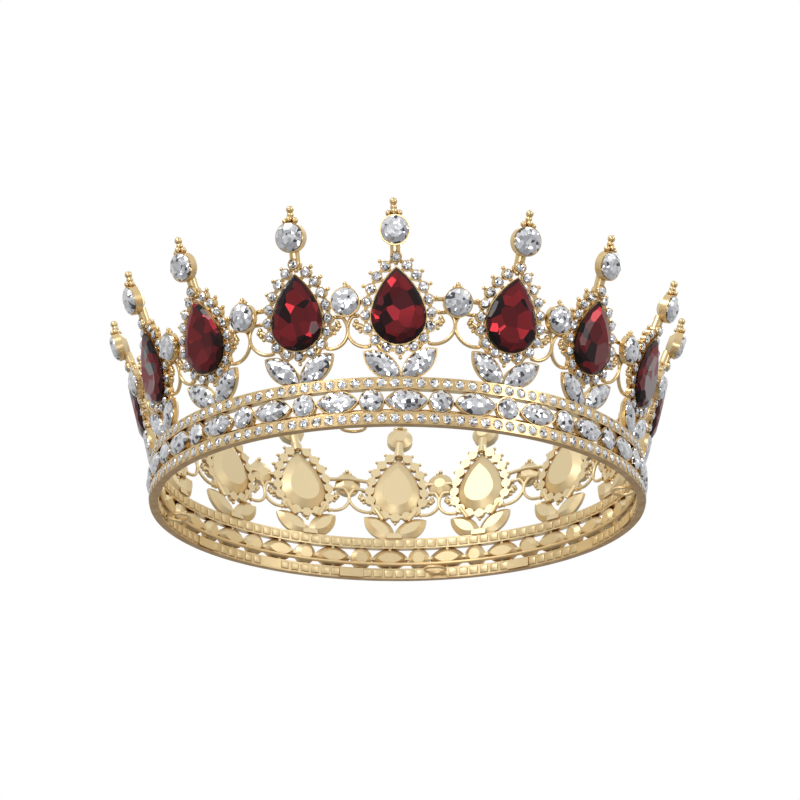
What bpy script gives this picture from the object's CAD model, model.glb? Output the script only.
import math
import random

import bmesh
import bpy
from mathutils import Matrix, Vector


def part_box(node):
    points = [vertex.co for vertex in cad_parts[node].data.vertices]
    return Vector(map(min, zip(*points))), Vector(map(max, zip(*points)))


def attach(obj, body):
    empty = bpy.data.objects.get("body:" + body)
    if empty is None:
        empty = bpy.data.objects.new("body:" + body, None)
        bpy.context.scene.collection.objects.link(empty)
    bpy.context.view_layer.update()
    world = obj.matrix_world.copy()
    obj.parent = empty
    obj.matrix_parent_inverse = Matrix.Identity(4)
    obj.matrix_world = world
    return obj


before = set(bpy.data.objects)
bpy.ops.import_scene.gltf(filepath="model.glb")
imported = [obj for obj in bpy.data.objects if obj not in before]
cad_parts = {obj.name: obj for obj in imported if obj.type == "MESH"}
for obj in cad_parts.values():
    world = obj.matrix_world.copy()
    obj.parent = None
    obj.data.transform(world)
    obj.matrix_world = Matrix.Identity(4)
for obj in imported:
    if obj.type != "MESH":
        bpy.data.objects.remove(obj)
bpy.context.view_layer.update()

# ------------------------------------------------------------------ camera
# The crown is seen from just left of its front spire and from a little below its
# bottom edge, through a long lens, so the inside of its far half shows under the band.
RING_CENTRE = Vector((0, 0, 0))
CAMERA_DISTANCE = 0.775
CAMERA_AZIMUTH = -0.85
CAMERA_BELOW = 18.4
CAMERA_LOOKS_UP = 20.86
CAMERA_TURN = 0.06
LENS = 114.8
SENSOR_WIDTH = 36
NEAREST_SEEN = 0.01
FARTHEST_SEEN = 20

scene = bpy.context.scene
camera_data = bpy.data.cameras.new("camera")
camera_data.lens = LENS
camera_data.sensor_width = SENSOR_WIDTH
camera_data.clip_start = NEAREST_SEEN
camera_data.clip_end = FARTHEST_SEEN
camera = bpy.data.objects.new("camera", camera_data)
scene.collection.objects.link(camera)
scene.camera = camera
side_turn = math.radians(CAMERA_AZIMUTH)
below = math.radians(CAMERA_BELOW)
look_up = math.radians(CAMERA_LOOKS_UP)
turn_right = Matrix.Rotation(-math.radians(CAMERA_TURN), 3, "Z")
away = Vector((math.sin(side_turn), -math.cos(side_turn), 0))
up = Vector((0, 0, 1))
camera.location = RING_CENTRE + CAMERA_DISTANCE * (away * math.cos(below) - up * math.sin(below))
gaze = turn_right @ (up * math.sin(look_up) - away * math.cos(look_up))
camera.rotation_euler = gaze.to_track_quat("-Z", "Y").to_euler()
scene.view_settings.view_transform = "Standard"


# ------------------------------------------------------------------ gold castings
# Band panels, spire frames, ring wire, joint plates and hair loops are cast or bent from
# zinc alloy and brass wire, then plated a light yellow gold: bright where the outside is
# polished, satin on the inner faces, and darker amber down in the seats and corners.
PLATE_BRIGHT = (0.88, 0.66, 0.35, 1)
PLATE_SATIN = (0.84, 0.69, 0.42, 1)
PLATE_AMBER = (0.45, 0.25, 0.07, 1)
POLISHED_ROUGHNESS = 0.16
SATIN_ROUGHNESS = 0.36
GRAIN_ROUGHNESS = 0.14
GRAIN_HEIGHT = 0.35
CAST_RELIEF = 0.00012
WIRE_RELIEF = 0.00004


def new_material(name):
    """An empty node material with its output."""
    material = bpy.data.materials.new(name)
    material.use_nodes = True
    tree = material.node_tree
    tree.nodes.clear()
    output = tree.nodes.new("ShaderNodeOutputMaterial")
    return material, tree, output


def set_inputs(node, values):
    """Sets plain values on a node's own sockets."""
    for name, value in values.items():
        node.inputs[name].default_value = value


def plating_group():
    """Uneven plating: where it wears pale, where grime and thin plating stay in the recesses."""
    tree = bpy.data.node_groups.new("uneven_plating", "ShaderNodeTree")
    face = tree.interface
    for name in ("Bright", "Satin", "Recess"):
        face.new_socket(name, in_out="INPUT", socket_type="NodeSocketColor")
    for name, value in (("Blotch Scale", 260.0), ("Grain Scale", 2600.0), ("Recess Reach", 0.0012)):
        socket = face.new_socket(name, in_out="INPUT", socket_type="NodeSocketFloat")
        socket.default_value = value
    face.new_socket("Color", in_out="OUTPUT", socket_type="NodeSocketColor")
    for name in ("Roughness", "Height"):
        face.new_socket(name, in_out="OUTPUT", socket_type="NodeSocketFloat")
    inside = tree.nodes.new("NodeGroupInput")
    outside = tree.nodes.new("NodeGroupOutput")
    place = tree.nodes.new("ShaderNodeTexCoord")
    blotch = tree.nodes.new("ShaderNodeTexNoise")
    grain = tree.nodes.new("ShaderNodeTexNoise")
    set_inputs(blotch, {"Detail": 3.0, "Roughness": 0.55})
    set_inputs(grain, {"Detail": 2.0, "Roughness": 0.6})
    links = tree.links
    for noise, scale in ((blotch, "Blotch Scale"), (grain, "Grain Scale")):
        links.new(place.outputs["Object"], noise.inputs["Vector"])
        links.new(inside.outputs[scale], noise.inputs["Scale"])
    # How far the face looks inwards: the plating inside the ring was left satin.
    normal = tree.nodes.new("ShaderNodeNewGeometry")
    flat = tree.nodes.new("ShaderNodeVectorMath")
    flat.operation = "MULTIPLY"
    flat.inputs[1].default_value = (1, 1, 0)
    links.new(place.outputs["Object"], flat.inputs[0])
    outward = tree.nodes.new("ShaderNodeVectorMath")
    outward.operation = "NORMALIZE"
    links.new(flat.outputs[0], outward.inputs[0])
    facing = tree.nodes.new("ShaderNodeVectorMath")
    facing.operation = "DOT_PRODUCT"
    links.new(outward.outputs[0], facing.inputs[0])
    links.new(normal.outputs["Normal"], facing.inputs[1])
    inner = tree.nodes.new("ShaderNodeMapRange")
    set_inputs(inner, {"From Min": 0.15, "From Max": -0.35, "To Min": 0.0, "To Max": 1.0})
    links.new(facing.outputs["Value"], inner.inputs["Value"])
    base = tree.nodes.new("ShaderNodeMix")
    base.data_type = "RGBA"
    links.new(inner.outputs["Result"], base.inputs["Factor"])
    links.new(inside.outputs["Bright"], base.inputs["A"])
    links.new(inside.outputs["Satin"], base.inputs["B"])
    # Recesses: ambient occlusion over about a millimetre, broken up by the blotches.
    recess = tree.nodes.new("ShaderNodeAmbientOcclusion")
    recess.samples = 6
    links.new(inside.outputs["Recess Reach"], recess.inputs["Distance"])
    shade = tree.nodes.new("ShaderNodeMapRange")
    set_inputs(shade, {"From Min": 0.9, "From Max": 0.35, "To Min": 0.0, "To Max": 0.9})
    links.new(recess.outputs["AO"], shade.inputs["Value"])
    patch = tree.nodes.new("ShaderNodeMath")
    patch.operation = "MULTIPLY"
    links.new(shade.outputs["Result"], patch.inputs[0])
    spread = tree.nodes.new("ShaderNodeMapRange")
    set_inputs(spread, {"From Min": 0.3, "From Max": 0.6, "To Min": 0.6, "To Max": 1.0})
    links.new(blotch.outputs["Fac"], spread.inputs["Value"])
    links.new(spread.outputs["Result"], patch.inputs[1])
    tint = tree.nodes.new("ShaderNodeMix")
    tint.data_type = "RGBA"
    links.new(patch.outputs[0], tint.inputs["Factor"])
    links.new(base.outputs["Result"], tint.inputs["A"])
    links.new(inside.outputs["Recess"], tint.inputs["B"])
    links.new(tint.outputs["Result"], outside.inputs["Color"])
    # Roughness: polished outside, satin inside, a little uneven everywhere.
    polish = tree.nodes.new("ShaderNodeMapRange")
    set_inputs(polish, {"To Min": POLISHED_ROUGHNESS, "To Max": SATIN_ROUGHNESS})
    links.new(inner.outputs["Result"], polish.inputs["Value"])
    uneven = tree.nodes.new("ShaderNodeMath")
    uneven.operation = "MULTIPLY_ADD"
    uneven.inputs[1].default_value = GRAIN_ROUGHNESS
    links.new(grain.outputs["Fac"], uneven.inputs[0])
    links.new(polish.outputs["Result"], uneven.inputs[2])
    links.new(uneven.outputs[0], outside.inputs["Roughness"])
    # Height: the fine grain of the casting over the wider blotches.
    rough_cast = tree.nodes.new("ShaderNodeMath")
    rough_cast.operation = "MULTIPLY_ADD"
    rough_cast.inputs[1].default_value = GRAIN_HEIGHT
    links.new(grain.outputs["Fac"], rough_cast.inputs[0])
    links.new(blotch.outputs["Fac"], rough_cast.inputs[2])
    links.new(rough_cast.outputs[0], outside.inputs["Height"])
    return tree


uneven_plating = plating_group()


def gold_material(name, bright, satin, bump_distance):
    """Gold plate over a casting or a drawn wire."""
    material, tree, output = new_material(name)
    plate = tree.nodes.new("ShaderNodeGroup")
    plate.node_tree = uneven_plating
    set_inputs(plate, {"Bright": bright, "Satin": satin, "Recess": PLATE_AMBER})
    skin = tree.nodes.new("ShaderNodeBsdfPrincipled")
    set_inputs(skin, {"Metallic": 1.0})
    relief = tree.nodes.new("ShaderNodeBump")
    set_inputs(relief, {"Strength": 0.35, "Distance": bump_distance})
    tree.links.new(plate.outputs["Color"], skin.inputs["Base Color"])
    tree.links.new(plate.outputs["Roughness"], skin.inputs["Roughness"])
    tree.links.new(plate.outputs["Height"], relief.inputs["Height"])
    tree.links.new(relief.outputs["Normal"], skin.inputs["Normal"])
    tree.links.new(skin.outputs["BSDF"], output.inputs["Surface"])
    return material


cast_gold = gold_material("cast_gold_plate", PLATE_BRIGHT, PLATE_SATIN, CAST_RELIEF)
wire_gold = gold_material("drawn_gold_wire", PLATE_BRIGHT, PLATE_BRIGHT, WIRE_RELIEF)


def finish_with(node_object, material):
    """Gives a CAD node one material."""
    node_object.data.materials.clear()
    node_object.data.materials.append(material)


for name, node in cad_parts.items():
    if name.startswith(("band_panel", "spire_frame", "joint_plates")):
        finish_with(node, cast_gold)
    if name.startswith(("reinforcing_wire", "hair_loop")):
        finish_with(node, wire_gold)


# ------------------------------------------------------------------ rail bezels
# Each small stone of the two rails sits in a thin raised bezel, cast with the rail and
# burnished down round the stone's girdle.
PANELS = 8
FIRST_PANEL_TURN = -11.25
STONES_PER_PANEL = 16
STONE_PITCH = 360 / PANELS / STONES_PER_PANEL
BAND_OUTER = 0.075
RAIL_THICKNESS = 0.0024
BEZEL_RADIUS = 0.00144
BEZEL_WIRE = 0.00016
BEZEL_STEPS = 12
BEZEL_SIDES = 4
MERGE_DISTANCE = 1e-7


def ring_matrix(angle, radius, height):
    """A place on the ring: X along the ring, Y up, Z outwards."""
    turn = math.radians(angle)
    along = Vector((math.cos(turn), math.sin(turn), 0))
    upward = Vector((0, 0, 1))
    outward = Vector((math.sin(turn), -math.cos(turn), 0))
    turned = Matrix((along, upward, outward)).transposed().to_4x4()
    return Matrix.Translation(outward * radius + upward * height) @ turned


def stamp(target, template, place):
    """Adds one copy of a template mesh to a bmesh, at a place."""
    before = len(target.verts)
    target.from_mesh(template)
    target.verts.ensure_lookup_table()
    bmesh.ops.transform(target, matrix=place, verts=target.verts[before:])


def template_of(shape, name):
    """Turns a bmesh into a mesh to stamp, with its faces outwards."""
    bmesh.ops.remove_doubles(shape, verts=shape.verts, dist=MERGE_DISTANCE)
    bmesh.ops.recalc_face_normals(shape, faces=shape.faces)
    template = bpy.data.meshes.new(name)
    shape.to_mesh(template)
    shape.free()
    return template


def gold_piece(name, shape, material):
    """One new piece of gold-plated metal, fixed to the crown."""
    data = bpy.data.meshes.new(name)
    shape.to_mesh(data)
    shape.free()
    for face in data.polygons:
        face.use_smooth = True
    data.materials.append(material)
    piece = bpy.data.objects.new(name, data)
    scene.collection.objects.link(piece)
    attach(piece, "root")


def wire_ring(radius, wire, steps, sides):
    """A closed wire ring lying across Z."""
    shape = bmesh.new()
    start = Matrix.Translation((radius, 0, 0)) @ Matrix.Rotation(math.radians(90), 4, "X")
    section = bmesh.ops.create_circle(shape, segments=sides, radius=wire, matrix=start)
    edges = list({edge for vert in section["verts"] for edge in vert.link_edges})
    bmesh.ops.spin(
        shape, geom=edges, cent=(0, 0, 0), axis=(0, 0, 1), angle=2 * math.pi, steps=steps, use_merge=True
    )
    return shape


def rail_rows():
    """The name of each rail, with the height of its row of stones."""
    rows = []
    for rail in ("lower", "upper"):
        low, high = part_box(f"{rail}_rail_stones")
        rows.append((rail, (low[2] + high[2]) / 2))
    return rows


def stone_turns():
    """Each stone's number within its panel, with its angle on the ring."""
    seam = FIRST_PANEL_TURN - 180 / PANELS
    for number in range(PANELS * STONES_PER_PANEL):
        yield number % STONES_PER_PANEL, seam + STONE_PITCH * (number + 0.5)


bezel = template_of(wire_ring(BEZEL_RADIUS, BEZEL_WIRE, BEZEL_STEPS, BEZEL_SIDES), "bezel_template")
bezels = bmesh.new()
for _, row_height in rail_rows():
    for _, angle in stone_turns():
        stamp(bezels, bezel, ring_matrix(angle, BAND_OUTER, row_height))
gold_piece("rail_bezels", bezels, cast_gold)


# ------------------------------------------------------------------ rail backs
# Behind every rail stone the casting has a low rounded pad, so the inside of the ring shows
# a row of small squares. The lower rail is left plain at the seams, which the joint plates
# cover, and at the middle of each panel, where a hair loop can be soldered on.
PAD_LENGTH = 0.0028
PAD_HEIGHT = 0.0024
PAD_DEPTH = 0.0006
PAD_ROUNDING = 0.00022
SEAM_STONES = (0, STONES_PER_PANEL - 1)
MIDDLE_STONES = (STONES_PER_PANEL // 2 - 1, STONES_PER_PANEL // 2)

pad_shape = bmesh.new()
pad_size = Matrix.Diagonal((PAD_LENGTH, PAD_HEIGHT, PAD_DEPTH, 1))
bmesh.ops.create_cube(pad_shape, size=1, matrix=pad_size)
bmesh.ops.bevel(
    pad_shape, geom=pad_shape.edges[:], offset=PAD_ROUNDING, segments=2, profile=0.5,
    affect="EDGES", material=-1, clamp_overlap=True
)
pad = template_of(pad_shape, "pad_template")
pads = bmesh.new()
for rail, row_height in rail_rows():
    for number, angle in stone_turns():
        if rail == "lower" and number in SEAM_STONES + MIDDLE_STONES:
            continue
        stamp(pads, pad, ring_matrix(angle, BAND_OUTER - RAIL_THICKNESS, row_height))
gold_piece("rail_back_pads", pads, cast_gold)


# ------------------------------------------------------------------ solder
# The hair loops are held by a little solder each side of where they meet the rail. It ran
# out a little unevenly before it was plated over.
SOLDER_RADIUS = 0.00085
SOLDER_SPREAD = 0.0016
SOLDER_UNEVENNESS = (0.85, 1.2)
SOLDER_FLOW = (1.5, 1.0, 0.7)
SOLDER_INWARD = 0.0001

chance = random.Random(7)
solder = bmesh.new()
for name in sorted(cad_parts):
    if not name.startswith("hair_loop"):
        continue
    low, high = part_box(name)
    middle = (Vector(low) + Vector(high)) / 2
    angle = math.degrees(math.atan2(middle.x, -middle.y))
    for side in (-1, 1):
        turn = angle + math.degrees(side * SOLDER_SPREAD / BAND_OUTER)
        size = SOLDER_RADIUS * chance.uniform(*SOLDER_UNEVENNESS)
        place = ring_matrix(turn, BAND_OUTER - RAIL_THICKNESS - SOLDER_INWARD, middle.z)
        flattened = Matrix.Diagonal((*SOLDER_FLOW, 1))
        bmesh.ops.create_icosphere(solder, subdivisions=2, radius=size, matrix=place @ flattened)
gold_piece("loop_solder", solder, wire_gold)


# ------------------------------------------------------------------ clear crystals
# The colourless stones are cut glass with a silver foil on their backs, glued in their cups,
# so they send light back from many small inner facets: white, grey and a few nearly black.
FOIL_WHITE = (0.96, 0.97, 1.0, 1)
FOIL_GREY = (0.80, 0.81, 0.84, 1)
FOIL_DARK = (0.10, 0.10, 0.11, 1)


def foil_group():
    """Inner facets of a foiled stone: cells of one tone and one tilt each."""
    tree = bpy.data.node_groups.new("foil_facets", "ShaderNodeTree")
    face = tree.interface
    for name in ("White", "Grey", "Dark"):
        face.new_socket(name, in_out="INPUT", socket_type="NodeSocketColor")
    for name, value in (("Facet Scale", 900.0), ("Tilt", 0.5), ("Dark Share", 0.16)):
        socket = face.new_socket(name, in_out="INPUT", socket_type="NodeSocketFloat")
        socket.default_value = value
    face.new_socket("Color", in_out="OUTPUT", socket_type="NodeSocketColor")
    face.new_socket("Normal", in_out="OUTPUT", socket_type="NodeSocketVector")
    inside = tree.nodes.new("NodeGroupInput")
    outside = tree.nodes.new("NodeGroupOutput")
    links = tree.links
    place = tree.nodes.new("ShaderNodeTexCoord")
    cells = tree.nodes.new("ShaderNodeTexVoronoi")
    links.new(place.outputs["Object"], cells.inputs["Vector"])
    links.new(inside.outputs["Facet Scale"], cells.inputs["Scale"])
    # One random number puts a cell between white and grey, another makes a few cells dark.
    chance = tree.nodes.new("ShaderNodeSeparateColor")
    links.new(cells.outputs["Color"], chance.inputs["Color"])
    light_or_grey = tree.nodes.new("ShaderNodeMix")
    light_or_grey.data_type = "RGBA"
    links.new(chance.outputs["Green"], light_or_grey.inputs["Factor"])
    links.new(inside.outputs["White"], light_or_grey.inputs["A"])
    links.new(inside.outputs["Grey"], light_or_grey.inputs["B"])
    is_dark = tree.nodes.new("ShaderNodeMath")
    is_dark.operation = "LESS_THAN"
    links.new(chance.outputs["Red"], is_dark.inputs[0])
    links.new(inside.outputs["Dark Share"], is_dark.inputs[1])
    tone = tree.nodes.new("ShaderNodeMix")
    tone.data_type = "RGBA"
    links.new(is_dark.outputs[0], tone.inputs["Factor"])
    links.new(light_or_grey.outputs["Result"], tone.inputs["A"])
    links.new(inside.outputs["Dark"], tone.inputs["B"])
    links.new(tone.outputs["Result"], outside.inputs["Color"])
    # All three numbers, centred on zero, lean the cell away from the outer facet.
    centred = tree.nodes.new("ShaderNodeVectorMath")
    centred.operation = "SUBTRACT"
    centred.inputs[1].default_value = (0.5, 0.5, 0.5)
    links.new(cells.outputs["Color"], centred.inputs[0])
    lean = tree.nodes.new("ShaderNodeVectorMath")
    lean.operation = "SCALE"
    links.new(centred.outputs[0], lean.inputs[0])
    links.new(inside.outputs["Tilt"], lean.inputs["Scale"])
    normal = tree.nodes.new("ShaderNodeNewGeometry")
    tilted = tree.nodes.new("ShaderNodeVectorMath")
    tilted.operation = "ADD"
    links.new(normal.outputs["Normal"], tilted.inputs[0])
    links.new(lean.outputs[0], tilted.inputs[1])
    unit = tree.nodes.new("ShaderNodeVectorMath")
    unit.operation = "NORMALIZE"
    links.new(tilted.outputs[0], unit.inputs[0])
    links.new(unit.outputs[0], outside.inputs["Normal"])
    return tree


foil_facets = foil_group()


def foiled_crystal(name, facet_scale, tilt, dark_share):
    """Foil-backed glass: bright inner facets under a clear, smooth top."""
    material, tree, output = new_material(name)
    foil = tree.nodes.new("ShaderNodeGroup")
    foil.node_tree = foil_facets
    set_inputs(foil, {"White": FOIL_WHITE, "Grey": FOIL_GREY, "Dark": FOIL_DARK})
    set_inputs(foil, {"Facet Scale": facet_scale, "Tilt": tilt, "Dark Share": dark_share})
    glass = tree.nodes.new("ShaderNodeBsdfPrincipled")
    set_inputs(glass, {"Metallic": 1.0, "Roughness": 0.12})
    set_inputs(glass, {"Coat Weight": 1.0, "Coat Roughness": 0.02, "Coat IOR": 1.6})
    tree.links.new(foil.outputs["Color"], glass.inputs["Base Color"])
    tree.links.new(foil.outputs["Normal"], glass.inputs["Normal"])
    tree.links.new(glass.outputs["BSDF"], output.inputs["Surface"])
    return material


large_crystal = foiled_crystal("large_foiled_crystal", facet_scale=1000.0, tilt=0.75, dark_share=0.10)
small_crystal = foiled_crystal("small_foiled_crystal", facet_scale=1900.0, tilt=0.7, dark_share=0.13)
for name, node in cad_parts.items():
    if name.endswith("_crystals"):
        finish_with(node, large_crystal)
    elif name.endswith("_stones"):
        finish_with(node, small_crystal)


# ------------------------------------------------------------------ garnet crystals
# The sixteen pears are cut from deep garnet glass on a dark foil: nearly black on the steep
# facets at their edges, ruby where light comes back up through the table.
RUBY = (0.30, 0.016, 0.022, 1)
GARNET = (0.095, 0.006, 0.009, 1)
NEARLY_BLACK = (0.018, 0.002, 0.003, 1)
STEEP_FACET = 0.72
TABLE_FACET = 0.96
EDGE_LIGHT = 0.12
SPIRE_LEAN = 15.0


def garnet_material(name):
    """Dark red cut glass: inner facets in three reds, darker the steeper the outer facet is."""
    material, tree, output = new_material(name)
    links = tree.links
    foil = tree.nodes.new("ShaderNodeGroup")
    foil.node_tree = foil_facets
    set_inputs(foil, {"White": RUBY, "Grey": GARNET, "Dark": NEARLY_BLACK})
    set_inputs(foil, {"Facet Scale": 240.0, "Tilt": 0.45, "Dark Share": 0.2})
    # How squarely a facet faces out of its spire, which leans out of the ring.
    place = tree.nodes.new("ShaderNodeTexCoord")
    level = tree.nodes.new("ShaderNodeVectorMath")
    level.operation = "MULTIPLY"
    level.inputs[1].default_value = (1, 1, 0)
    links.new(place.outputs["Object"], level.inputs[0])
    outward = tree.nodes.new("ShaderNodeVectorMath")
    outward.operation = "NORMALIZE"
    links.new(level.outputs[0], outward.inputs[0])
    leaned = tree.nodes.new("ShaderNodeVectorMath")
    leaned.operation = "MULTIPLY_ADD"
    leaned.inputs[1].default_value = [math.cos(math.radians(SPIRE_LEAN))] * 3
    leaned.inputs[2].default_value = (0, 0, -math.sin(math.radians(SPIRE_LEAN)))
    links.new(outward.outputs[0], leaned.inputs[0])
    facet = tree.nodes.new("ShaderNodeNewGeometry")
    squarely = tree.nodes.new("ShaderNodeVectorMath")
    squarely.operation = "DOT_PRODUCT"
    links.new(leaned.outputs[0], squarely.inputs[0])
    links.new(facet.outputs["Normal"], squarely.inputs[1])
    light = tree.nodes.new("ShaderNodeMapRange")
    set_inputs(light, {"From Min": STEEP_FACET, "From Max": TABLE_FACET, "To Min": EDGE_LIGHT})
    links.new(squarely.outputs["Value"], light.inputs["Value"])
    colour = tree.nodes.new("ShaderNodeVectorMath")
    colour.operation = "SCALE"
    links.new(foil.outputs["Color"], colour.inputs[0])
    links.new(light.outputs["Result"], colour.inputs["Scale"])
    glass = tree.nodes.new("ShaderNodeBsdfPrincipled")
    set_inputs(glass, {"Metallic": 1.0, "Roughness": 0.10})
    set_inputs(glass, {"Coat Weight": 0.6, "Coat Roughness": 0.02, "Coat IOR": 1.5})
    links.new(colour.outputs[0], glass.inputs["Base Color"])
    links.new(foil.outputs["Normal"], glass.inputs["Normal"])
    links.new(glass.outputs["BSDF"], output.inputs["Surface"])
    return material


garnet_crystal = garnet_material("garnet_crystal_glass")
for name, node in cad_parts.items():
    if name.startswith("pear_crystal"):
        finish_with(node, garnet_crystal)


# ------------------------------------------------------------------ neck collets
# Where the halo of small stones meets the neck of a spire, one stone stands forward of the
# neck in a collet of its own, closing the row over the pear's tip.
PIVOT_RADIUS = 0.0735
PIVOT_HEIGHT = 0.014
SPIRE_TURN = 360 / PANELS / 4
HALO_TOP = 0.0341
NECK_FRONT = 0.0015
COLLET_RADIUS = 0.0017
COLLET_TAPER = 0.8
COLLET_DEPTH = 0.0016
COLLET_FRONT = NECK_FRONT + COLLET_DEPTH / 4
COLLET_STEPS = 16
NECK_STONE_RADIUS = 0.00132
NECK_STONE_TABLE = 0.0008
NECK_STONE_CROWN = 0.00055
NECK_STONE_STEPS = 12


def spire_matrices():
    """A spire's own frame for each of the sixteen: X along the ring, Y up the spire, Z out."""
    for panel in range(PANELS):
        middle = FIRST_PANEL_TURN + 360 / PANELS * panel
        hinge = Vector((math.cos(math.radians(middle)), math.sin(math.radians(middle)), 0))
        for side in (-1, 1):
            upright = ring_matrix(middle + side * SPIRE_TURN, PIVOT_RADIUS, PIVOT_HEIGHT)
            foot = upright.to_translation()
            lean = Matrix.Rotation(math.radians(SPIRE_LEAN), 4, hinge)
            yield Matrix.Translation(foot) @ lean @ upright.to_3x3().to_4x4()


def stone_piece(name, shape, material):
    """One new piece of loose stones, with sharp facets."""
    data = bpy.data.meshes.new(name)
    shape.to_mesh(data)
    shape.free()
    data.materials.append(material)
    piece = bpy.data.objects.new(name, data)
    scene.collection.objects.link(piece)
    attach(piece, "root")


collet_place = Matrix.Translation((0, HALO_TOP, NECK_FRONT - COLLET_DEPTH / 4))
collet_shape = bmesh.new()
bmesh.ops.create_cone(
    collet_shape, cap_ends=True, segments=COLLET_STEPS, radius1=COLLET_RADIUS * COLLET_TAPER,
    radius2=COLLET_RADIUS, depth=COLLET_DEPTH, matrix=collet_place
)
collet = template_of(collet_shape, "collet_template")
neck_stone_place = Matrix.Translation((0, HALO_TOP, COLLET_FRONT + NECK_STONE_CROWN / 2))
neck_stone_shape = bmesh.new()
bmesh.ops.create_cone(
    neck_stone_shape, cap_ends=True, segments=NECK_STONE_STEPS, radius1=NECK_STONE_RADIUS,
    radius2=NECK_STONE_TABLE, depth=NECK_STONE_CROWN, matrix=neck_stone_place
)
neck_stone = template_of(neck_stone_shape, "neck_stone_template")
collets = bmesh.new()
neck_stones = bmesh.new()
for spire in spire_matrices():
    stamp(collets, collet, spire)
    stamp(collets, bezel, spire @ Matrix.Translation((0, HALO_TOP, COLLET_FRONT)))
    stamp(neck_stones, neck_stone, spire)
gold_piece("neck_collets", collets, cast_gold)
stone_piece("neck_stones", neck_stones, small_crystal)


# ------------------------------------------------------------------ finial beads
# Over each top crystal the casting ends in a little pile of round grains: three at its foot,
# one above them and a larger one at the tip. A row gives a grain's place on the crest, to the
# side, up and forward, and then its radius.
CREST_HINGE = 0.036
CREST_BEND = 5.5
CREST_TOP = 0.0101
CREST_MIDDLE = 0.0012
GRAIN_STEPS = 10
GRAIN_ROWS = 7
FINIAL_GRAINS = (
    (-0.0015, 0.0004, 0.0005, 0.00095),
    (0.0015, 0.0004, 0.0005, 0.00095),
    (0.0, 0.0009, 0.0012, 0.00095),
    (0.0, 0.0021, 0.0002, 0.0009),
    (0.0, 0.0037, 0.0, 0.00115),
)

grain_shape = bmesh.new()
for across, rise, forward, radius in FINIAL_GRAINS:
    place = Matrix.Translation((across, CREST_TOP + rise, CREST_MIDDLE + forward))
    bmesh.ops.create_uvsphere(
        grain_shape, u_segments=GRAIN_STEPS, v_segments=GRAIN_ROWS, radius=radius, matrix=place
    )
grains = template_of(grain_shape, "grain_template")
finial_beads = bmesh.new()
crest = Matrix.Translation((0, CREST_HINGE, 0)) @ Matrix.Rotation(math.radians(CREST_BEND), 4, "X")
for spire in spire_matrices():
    stamp(finial_beads, grains, spire @ crest)
gold_piece("finial_beads", finial_beads, cast_gold)


# ------------------------------------------------------------------ floor and light
# A pale table top lies just under the crown and is seen only from above, so it hides nothing
# from below. Round them is a white studio, lit more from overhead, with four soft boxes.
FLOOR_SIZE = 3.0
FLOOR_LEVEL = -0.0002
TABLE_TONE = (0.86, 0.86, 0.87, 1)
ROOM_SEEN = (1, 1, 1, 1)
ROOM_LOW = (0.42, 0.42, 0.43, 1)
ROOM_HIGH = (1.0, 1.0, 1.0, 1)
ROOM_FADE = (0.15, 0.85)
ROOM_STRENGTH = 0.78
AIM = (0, 0, 0.03)

floor_mesh = bmesh.new()
floor_place = Matrix.Translation((0, 0, FLOOR_LEVEL))
bmesh.ops.create_grid(floor_mesh, x_segments=1, y_segments=1, size=FLOOR_SIZE, matrix=floor_place)
floor_data = bpy.data.meshes.new("floor")
floor_mesh.to_mesh(floor_data)
floor_mesh.free()
floor = bpy.data.objects.new("floor", floor_data)
scene.collection.objects.link(floor)
floor_material, floor_tree, floor_output = new_material("pale_table_top")
paint = floor_tree.nodes.new("ShaderNodeBsdfDiffuse")
set_inputs(paint, {"Color": TABLE_TONE})
see_through = floor_tree.nodes.new("ShaderNodeBsdfTransparent")
one_sided = floor_tree.nodes.new("ShaderNodeMixShader")
underside = floor_tree.nodes.new("ShaderNodeNewGeometry")
floor_rays = floor_tree.nodes.new("ShaderNodeLightPath")
from_above = floor_tree.nodes.new("ShaderNodeMath")
from_above.operation = "SUBTRACT"
from_above.use_clamp = True
floor_tree.links.new(floor_rays.outputs["Is Camera Ray"], from_above.inputs[0])
floor_tree.links.new(underside.outputs["Backfacing"], from_above.inputs[1])
floor_tree.links.new(from_above.outputs[0], one_sided.inputs["Fac"])
floor_tree.links.new(see_through.outputs["BSDF"], one_sided.inputs[1])
floor_tree.links.new(paint.outputs["BSDF"], one_sided.inputs[2])
floor_tree.links.new(one_sided.outputs["Shader"], floor_output.inputs["Surface"])
floor_data.materials.append(floor_material)

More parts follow.
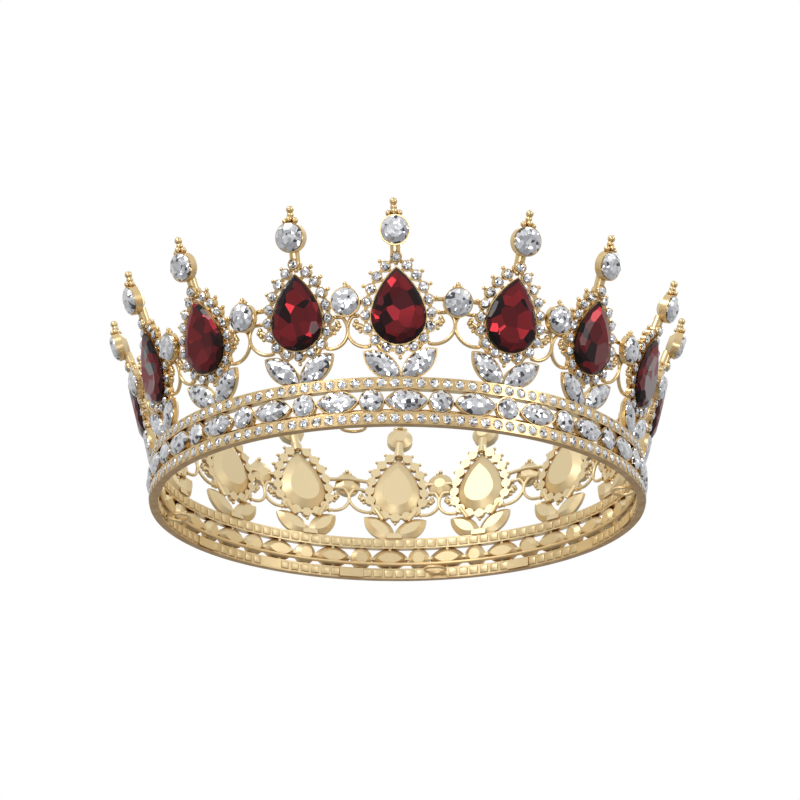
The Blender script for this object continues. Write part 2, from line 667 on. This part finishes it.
world = bpy.data.worlds.new("studio")
scene.world = world
world.use_nodes = True
sky = world.node_tree
sky.nodes.clear()
sky_output = sky.nodes.new("ShaderNodeOutputWorld")
seen = sky.nodes.new("ShaderNodeBackground")
set_inputs(seen, {"Color": ROOM_SEEN, "Strength": 1.0})
lit = sky.nodes.new("ShaderNodeBackground")
set_inputs(lit, {"Strength": ROOM_STRENGTH})
direction = sky.nodes.new("ShaderNodeTexCoord")
height = sky.nodes.new("ShaderNodeSeparateXYZ")
tones = sky.nodes.new("ShaderNodeValToRGB")
for stop, place, tone in zip(tones.color_ramp.elements, ROOM_FADE, (ROOM_LOW, ROOM_HIGH)):
    stop.position = place
    stop.color = tone
level = sky.nodes.new("ShaderNodeMapRange")
set_inputs(level, {"From Min": -1.0, "From Max": 1.0})
chooser = sky.nodes.new("ShaderNodeMixShader")
path = sky.nodes.new("ShaderNodeLightPath")
sky.links.new(direction.outputs["Generated"], height.inputs["Vector"])
sky.links.new(height.outputs["Z"], level.inputs["Value"])
sky.links.new(level.outputs["Result"], tones.inputs["Fac"])
sky.links.new(tones.outputs["Color"], lit.inputs["Color"])
sky.links.new(path.outputs["Is Camera Ray"], chooser.inputs["Fac"])
sky.links.new(lit.outputs["Background"], chooser.inputs[1])
sky.links.new(seen.outputs["Background"], chooser.inputs[2])
sky.links.new(chooser.outputs["Shader"], sky_output.inputs["Surface"])


def softbox(name, place, size, power):
    """A rectangular soft light aimed at the crown."""
    data = bpy.data.lights.new(name, "AREA")
    data.shape = "RECTANGLE"
    data.size, data.size_y = size
    data.energy = power
    light = bpy.data.objects.new(name, data)
    light.location = place
    aim = Vector(AIM) - Vector(place)
    light.rotation_euler = aim.to_track_quat("-Z", "Y").to_euler()
    scene.collection.objects.link(light)


softbox("key", place=(-0.9, -1.1, 1.1), size=(0.7, 0.7), power=9)
softbox("fill", place=(1.2, -0.9, 0.5), size=(0.5, 0.9), power=4)
softbox("back", place=(0.2, 1.3, 0.9), size=(1.0, 0.5), power=6)
softbox("low_front", place=(-0.3, -1.2, -0.35), size=(0.9, 0.25), power=2.5)
